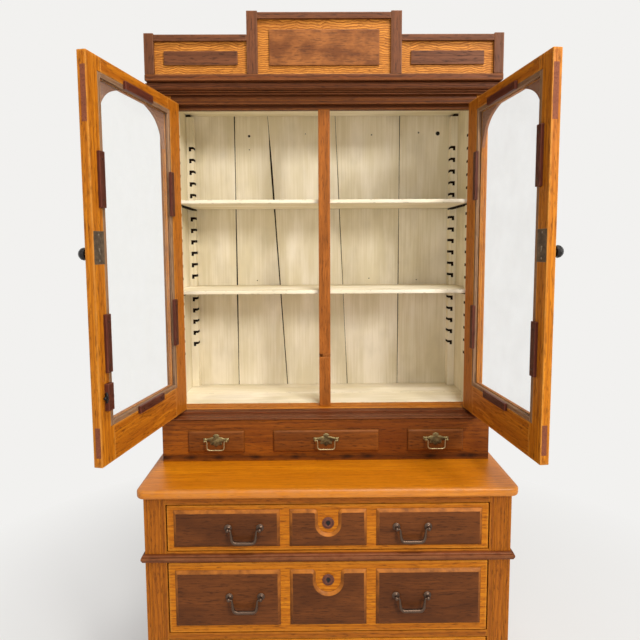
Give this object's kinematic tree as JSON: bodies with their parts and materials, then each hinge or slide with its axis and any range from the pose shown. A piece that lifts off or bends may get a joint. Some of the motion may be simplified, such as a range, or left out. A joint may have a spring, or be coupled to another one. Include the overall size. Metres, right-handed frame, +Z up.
{
  "type": "display cabinet",
  "caption": "Step-back display cabinet: glazed upper case with hinged doors and lift-out shelves over a waist of small drawers and a chest of large drawers, with a stepped crest.",
  "frame": {"origin": "on the floor, under the middle of the plinth's front board", "axes": "+Z up, +X to the right-hand side seen from the front, +Y from the front to the back"},
  "size_m": [1.0969, 0.781, 2.1033],
  "materials": {
    "golden_oak": "aged golden oak under clear varnish",
    "light_oak": "light oak under clear varnish",
    "dark_walnut": "dark walnut, oiled",
    "red_brown_stain": "pine stained red-brown under varnish",
    "cream_paint": "wood painted matt cream",
    "aged_brass": "aged brass",
    "dark_bronze": "dark bronze patina",
    "black_iron": "black, satin",
    "clear_glass": "clear old sheet glass"
  },
  "bodies": {
    "cabinet": {"chest_top": "golden_oak", "chest_carcass": "golden_oak", "bead_moulding": "dark_walnut", "plinth": "golden_oak", "waist_front": "red_brown_stain", "waist_carcass": "golden_oak", "waist_moulding": "dark_walnut", "upper_carcass": "golden_oak", "back_boards": "cream_paint", "face_frame": "golden_oak", "shelf_ladder_left": "cream_paint", "shelf_ladder_right": "cream_paint", "cornice": "dark_walnut", "crest_frame": "dark_walnut", "crest_board": "light_oak"},
    "shelf_upper": {"shelf_upper": "cream_paint"},
    "shelf_lower": {"shelf_lower": "cream_paint"},
    "door_left": {"door_left_frame": "golden_oak", "door_left_glass": "clear_glass", "door_left_glazing_strips": "dark_walnut", "door_left_hinge_leaf_lower": "aged_brass", "door_left_hinge_leaf_upper": "aged_brass", "door_left_lock_and_knob": "black_iron"},
    "door_right": {"door_right_frame": "golden_oak", "door_right_glass": "clear_glass", "door_right_glazing_strips": "dark_walnut", "door_right_hinge_leaf_lower": "aged_brass", "door_right_hinge_leaf_upper": "aged_brass", "door_right_lock_and_knob": "black_iron"},
    "door_left_latch": {"door_left_latch_bolt": "black_iron"},
    "drawer_top": {"drawer_top_front_and_box": "golden_oak", "drawer_top_panel_board": "dark_walnut", "drawer_top_escutcheon": "aged_brass", "drawer_top_pull_posts_left": "dark_bronze", "drawer_top_pull_posts_right": "dark_bronze"},
    "drawer_top_bail_left": {"drawer_top_bail_left": "dark_bronze"},
    "drawer_top_bail_right": {"drawer_top_bail_right": "dark_bronze"},
    "drawer_middle": {"drawer_middle_front_and_box": "golden_oak", "drawer_middle_panel_board": "dark_walnut", "drawer_middle_escutcheon": "aged_brass", "drawer_middle_pull_posts_left": "dark_bronze", "drawer_middle_pull_posts_right": "dark_bronze"},
    "drawer_middle_bail_left": {"drawer_middle_bail_left": "dark_bronze"},
    "drawer_middle_bail_right": {"drawer_middle_bail_right": "dark_bronze"},
    "drawer_bottom": {"drawer_bottom_front_and_box": "golden_oak", "drawer_bottom_panel_board": "dark_walnut", "drawer_bottom_escutcheon": "aged_brass", "drawer_bottom_pull_posts_left": "dark_bronze", "drawer_bottom_pull_posts_right": "dark_bronze"},
    "drawer_bottom_bail_left": {"drawer_bottom_bail_left": "dark_bronze"},
    "drawer_bottom_bail_right": {"drawer_bottom_bail_right": "dark_bronze"},
    "small_drawer_left": {"small_drawer_left": "red_brown_stain", "small_drawer_left_pull_plate": "aged_brass"},
    "small_drawer_left_bail": {"small_drawer_left_bail": "aged_brass"},
    "small_drawer_centre": {"small_drawer_centre": "red_brown_stain", "small_drawer_centre_pull_plate": "aged_brass"},
    "small_drawer_centre_bail": {"small_drawer_centre_bail": "aged_brass"},
    "small_drawer_right": {"small_drawer_right": "red_brown_stain", "small_drawer_right_pull_plate": "aged_brass"},
    "small_drawer_right_bail": {"small_drawer_right_bail": "aged_brass"}
  },
  "joints": [
    {"name": "door_left_hinge", "type": "hinge", "parent": "cabinet", "child": "door_left", "pos_m": [-0.4615, 0.2515, 1.38], "axis": [0, 0, -1], "range_deg": [-101.4, 63]},
    {"name": "door_right_hinge", "type": "hinge", "parent": "cabinet", "child": "door_right", "pos_m": [0.4615, 0.2515, 1.38], "axis": [0, 0, 1], "range_deg": [-96.2, 68]},
    {"name": "door_left_latch_slide", "type": "slide", "parent": "door_left", "child": "door_left_latch", "axis": [0.1977, 0.9803, 0], "range_m": [0, 0.01]},
    {"name": "shelf_upper_lift", "type": "slide", "parent": "cabinet", "child": "shelf_upper", "axis": [0, 0, 1], "range_m": [0, 0.05]},
    {"name": "shelf_lower_lift", "type": "slide", "parent": "cabinet", "child": "shelf_lower", "axis": [0, 0, 1], "range_m": [0, 0.05]},
    {"name": "drawer_top_slide", "type": "slide", "parent": "cabinet", "child": "drawer_top", "axis": [0, -1, 0], "range_m": [0, 0.38]},
    {"name": "drawer_top_bail_left_pivot", "type": "hinge", "parent": "drawer_top", "child": "drawer_top_bail_left", "pos_m": [-0.2295, -0.0223, 0.6608], "axis": [-1, 0, 0], "range_deg": [-10, 120]},
    {"name": "drawer_top_bail_right_pivot", "type": "hinge", "parent": "drawer_top", "child": "drawer_top_bail_right", "pos_m": [0.2295, -0.0223, 0.6608], "axis": [-1, 0, 0], "range_deg": [-10, 120]},
    {"name": "drawer_middle_slide", "type": "slide", "parent": "cabinet", "child": "drawer_middle", "axis": [0, -1, 0], "range_m": [0, 0.38]},
    {"name": "drawer_middle_bail_left_pivot", "type": "hinge", "parent": "drawer_middle", "child": "drawer_middle_bail_left", "pos_m": [-0.2295, -0.0223, 0.4628], "axis": [-1, 0, 0], "range_deg": [-10, 120]},
    {"name": "drawer_middle_bail_right_pivot", "type": "hinge", "parent": "drawer_middle", "child": "drawer_middle_bail_right", "pos_m": [0.2295, -0.0223, 0.4628], "axis": [-1, 0, 0], "range_deg": [-10, 120]},
    {"name": "drawer_bottom_slide", "type": "slide", "parent": "cabinet", "child": "drawer_bottom", "axis": [0, -1, 0], "range_m": [0, 0.38]},
    {"name": "drawer_bottom_bail_left_pivot", "type": "hinge", "parent": "drawer_bottom", "child": "drawer_bottom_bail_left", "pos_m": [-0.2295, -0.0223, 0.2358], "axis": [-1, 0, 0], "range_deg": [-10, 120]},
    {"name": "drawer_bottom_bail_right_pivot", "type": "hinge", "parent": "drawer_bottom", "child": "drawer_bottom_bail_right", "pos_m": [0.2295, -0.0223, 0.2358], "axis": [-1, 0, 0], "range_deg": [-10, 120]},
    {"name": "small_drawer_left_slide", "type": "slide", "parent": "cabinet", "child": "small_drawer_left", "axis": [0, -1, 0], "range_m": [0, 0.22]},
    {"name": "small_drawer_left_bail_pivot", "type": "hinge", "parent": "small_drawer_left", "child": "small_drawer_left_bail", "pos_m": [-0.3335, 0.1627, 0.84], "axis": [-1, 0, 0], "range_deg": [-10, 120]},
    {"name": "small_drawer_centre_slide", "type": "slide", "parent": "cabinet", "child": "small_drawer_centre", "axis": [0, -1, 0], "range_m": [0, 0.22]},
    {"name": "small_drawer_centre_bail_pivot", "type": "hinge", "parent": "small_drawer_centre", "child": "small_drawer_centre_bail", "pos_m": [0, 0.1627, 0.84], "axis": [-1, 0, 0], "range_deg": [-10, 120]},
    {"name": "small_drawer_right_slide", "type": "slide", "parent": "cabinet", "child": "small_drawer_right", "axis": [0, -1, 0], "range_m": [0, 0.22]},
    {"name": "small_drawer_right_bail_pivot", "type": "hinge", "parent": "small_drawer_right", "child": "small_drawer_right_bail", "pos_m": [0.3335, 0.1627, 0.84], "axis": [-1, 0, 0], "range_deg": [-10, 120]}
  ]
}
